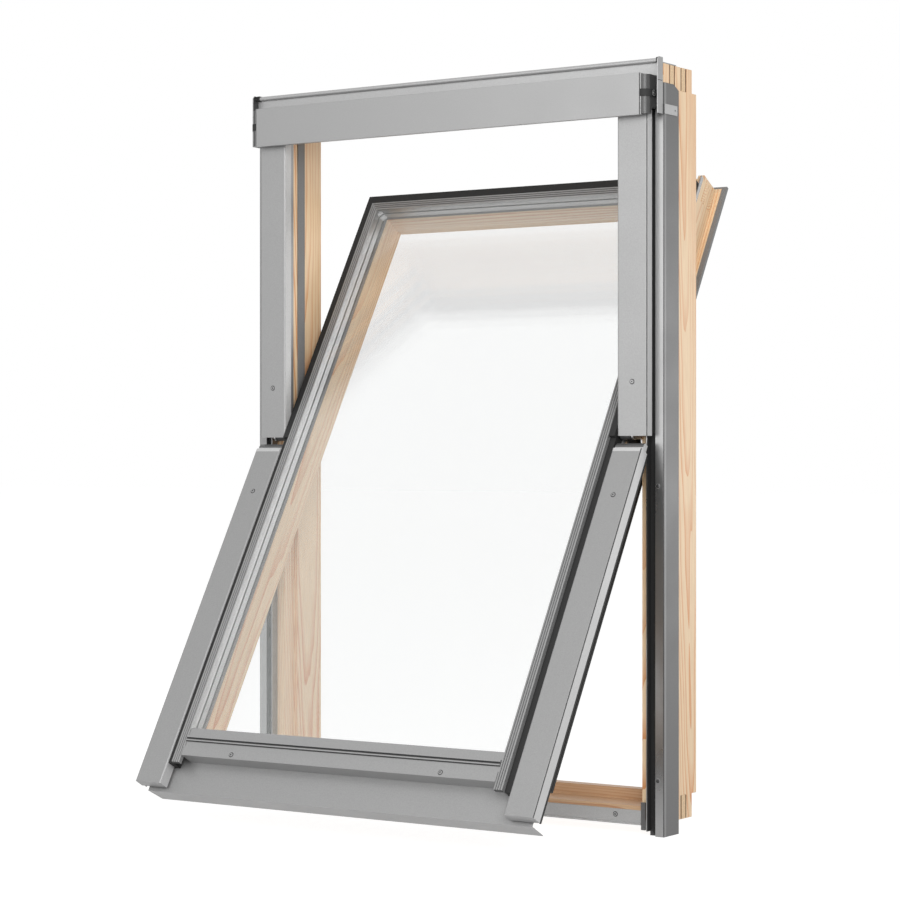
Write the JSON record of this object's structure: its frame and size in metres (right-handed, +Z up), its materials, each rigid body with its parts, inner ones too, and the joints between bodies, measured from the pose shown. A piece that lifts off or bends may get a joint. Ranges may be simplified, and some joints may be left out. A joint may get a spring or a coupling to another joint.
{
  "type": "roof skylight",
  "caption": "Centre-pivot timber roof window with grey aluminium covers, its glazed sash swung open on side pivots in a clad pine frame, with a hood above.",
  "frame": {"origin": "middle of the underside of the frame's sill, midway through its depth", "axes": "+X along the window's width to the right seen from outside, +Y from outside into the room, +Z up along the frame towards the hood"},
  "size_m": [0.7774, 0.641, 1.1741],
  "materials": {
    "pine": "clear lacquered pine",
    "light_grey_metal": "satin lacquered aluminium",
    "dark_grey_metal": "satin lacquered aluminium, darker",
    "dark_plastic": "moulded",
    "black_rubber": "extruded",
    "grey_rubber": "extruded",
    "glass": "clear",
    "spacer_metal": "bright mill",
    "steel": "zinc plated",
    "handle_metal": "satin lacquered casting"
  },
  "bodies": {
    "frame": {"left_jamb": "pine", "right_jamb": "pine", "head_rail": "pine", "sill_rail": "pine", "left_channel": "light_grey_metal", "right_channel": "light_grey_metal", "left_skirt": "dark_grey_metal", "right_skirt": "dark_grey_metal", "head_cladding": "light_grey_metal", "hood_front": "light_grey_metal", "left_hood_cap": "dark_plastic", "right_hood_cap": "dark_plastic", "left_corner_tab": "light_grey_metal", "right_corner_tab": "light_grey_metal", "sill_cladding": "light_grey_metal", "left_upper_cover": "light_grey_metal", "right_upper_cover": "light_grey_metal", "upper_cover_clips": "dark_plastic", "left_channel_seal": "black_rubber", "right_channel_seal": "black_rubber", "left_jamb_seal": "grey_rubber", "right_jamb_seal": "grey_rubber", "channel_feet": "dark_grey_metal", "left_frame_hinge": "steel", "right_frame_hinge": "steel", "catch_plate": "steel", "lip_trims": "light_grey_metal", "frame_screws": "steel"},
    "sash": {"left_stile": "pine", "right_stile": "pine", "sash_top_rail": "pine", "sash_bottom_rail": "pine", "outer_pane": "glass", "middle_pane": "glass", "inner_pane": "glass", "outer_spacer": "spacer_metal", "inner_spacer": "spacer_metal", "edge_seal": "black_rubber", "inner_glazing_seal": "grey_rubber", "left_bead": "light_grey_metal", "right_bead": "light_grey_metal", "top_bead": "light_grey_metal", "bottom_bead": "light_grey_metal", "apron": "light_grey_metal", "left_lower_cover": "light_grey_metal", "right_lower_cover": "light_grey_metal", "left_cover_end": "light_grey_metal", "right_cover_end": "light_grey_metal", "lower_cover_clips": "dark_plastic", "glazing_band": "black_rubber", "sash_seal": "black_rubber", "left_edge_strip": "light_grey_metal", "right_edge_strip": "light_grey_metal", "cover_lips": "black_rubber", "left_sash_hinge": "dark_plastic", "right_sash_hinge": "dark_plastic", "handle_rose": "handle_metal", "sash_screws": "steel"},
    "handle": {"handle_lever": "handle_metal"}
  },
  "joints": [
    {"name": "sash_pivot", "type": "hinge", "parent": "frame", "child": "sash", "pos_m": [0, -0.055, 0.5855], "axis": [-1, 0, 0], "range_deg": [-30.3, 95]},
    {"name": "handle_turn", "type": "hinge", "parent": "sash", "child": "handle", "pos_m": [0, -0.25872, 0.09416], "axis": [0, 0.8634, -0.5045], "range_deg": [0, 90]}
  ]
}
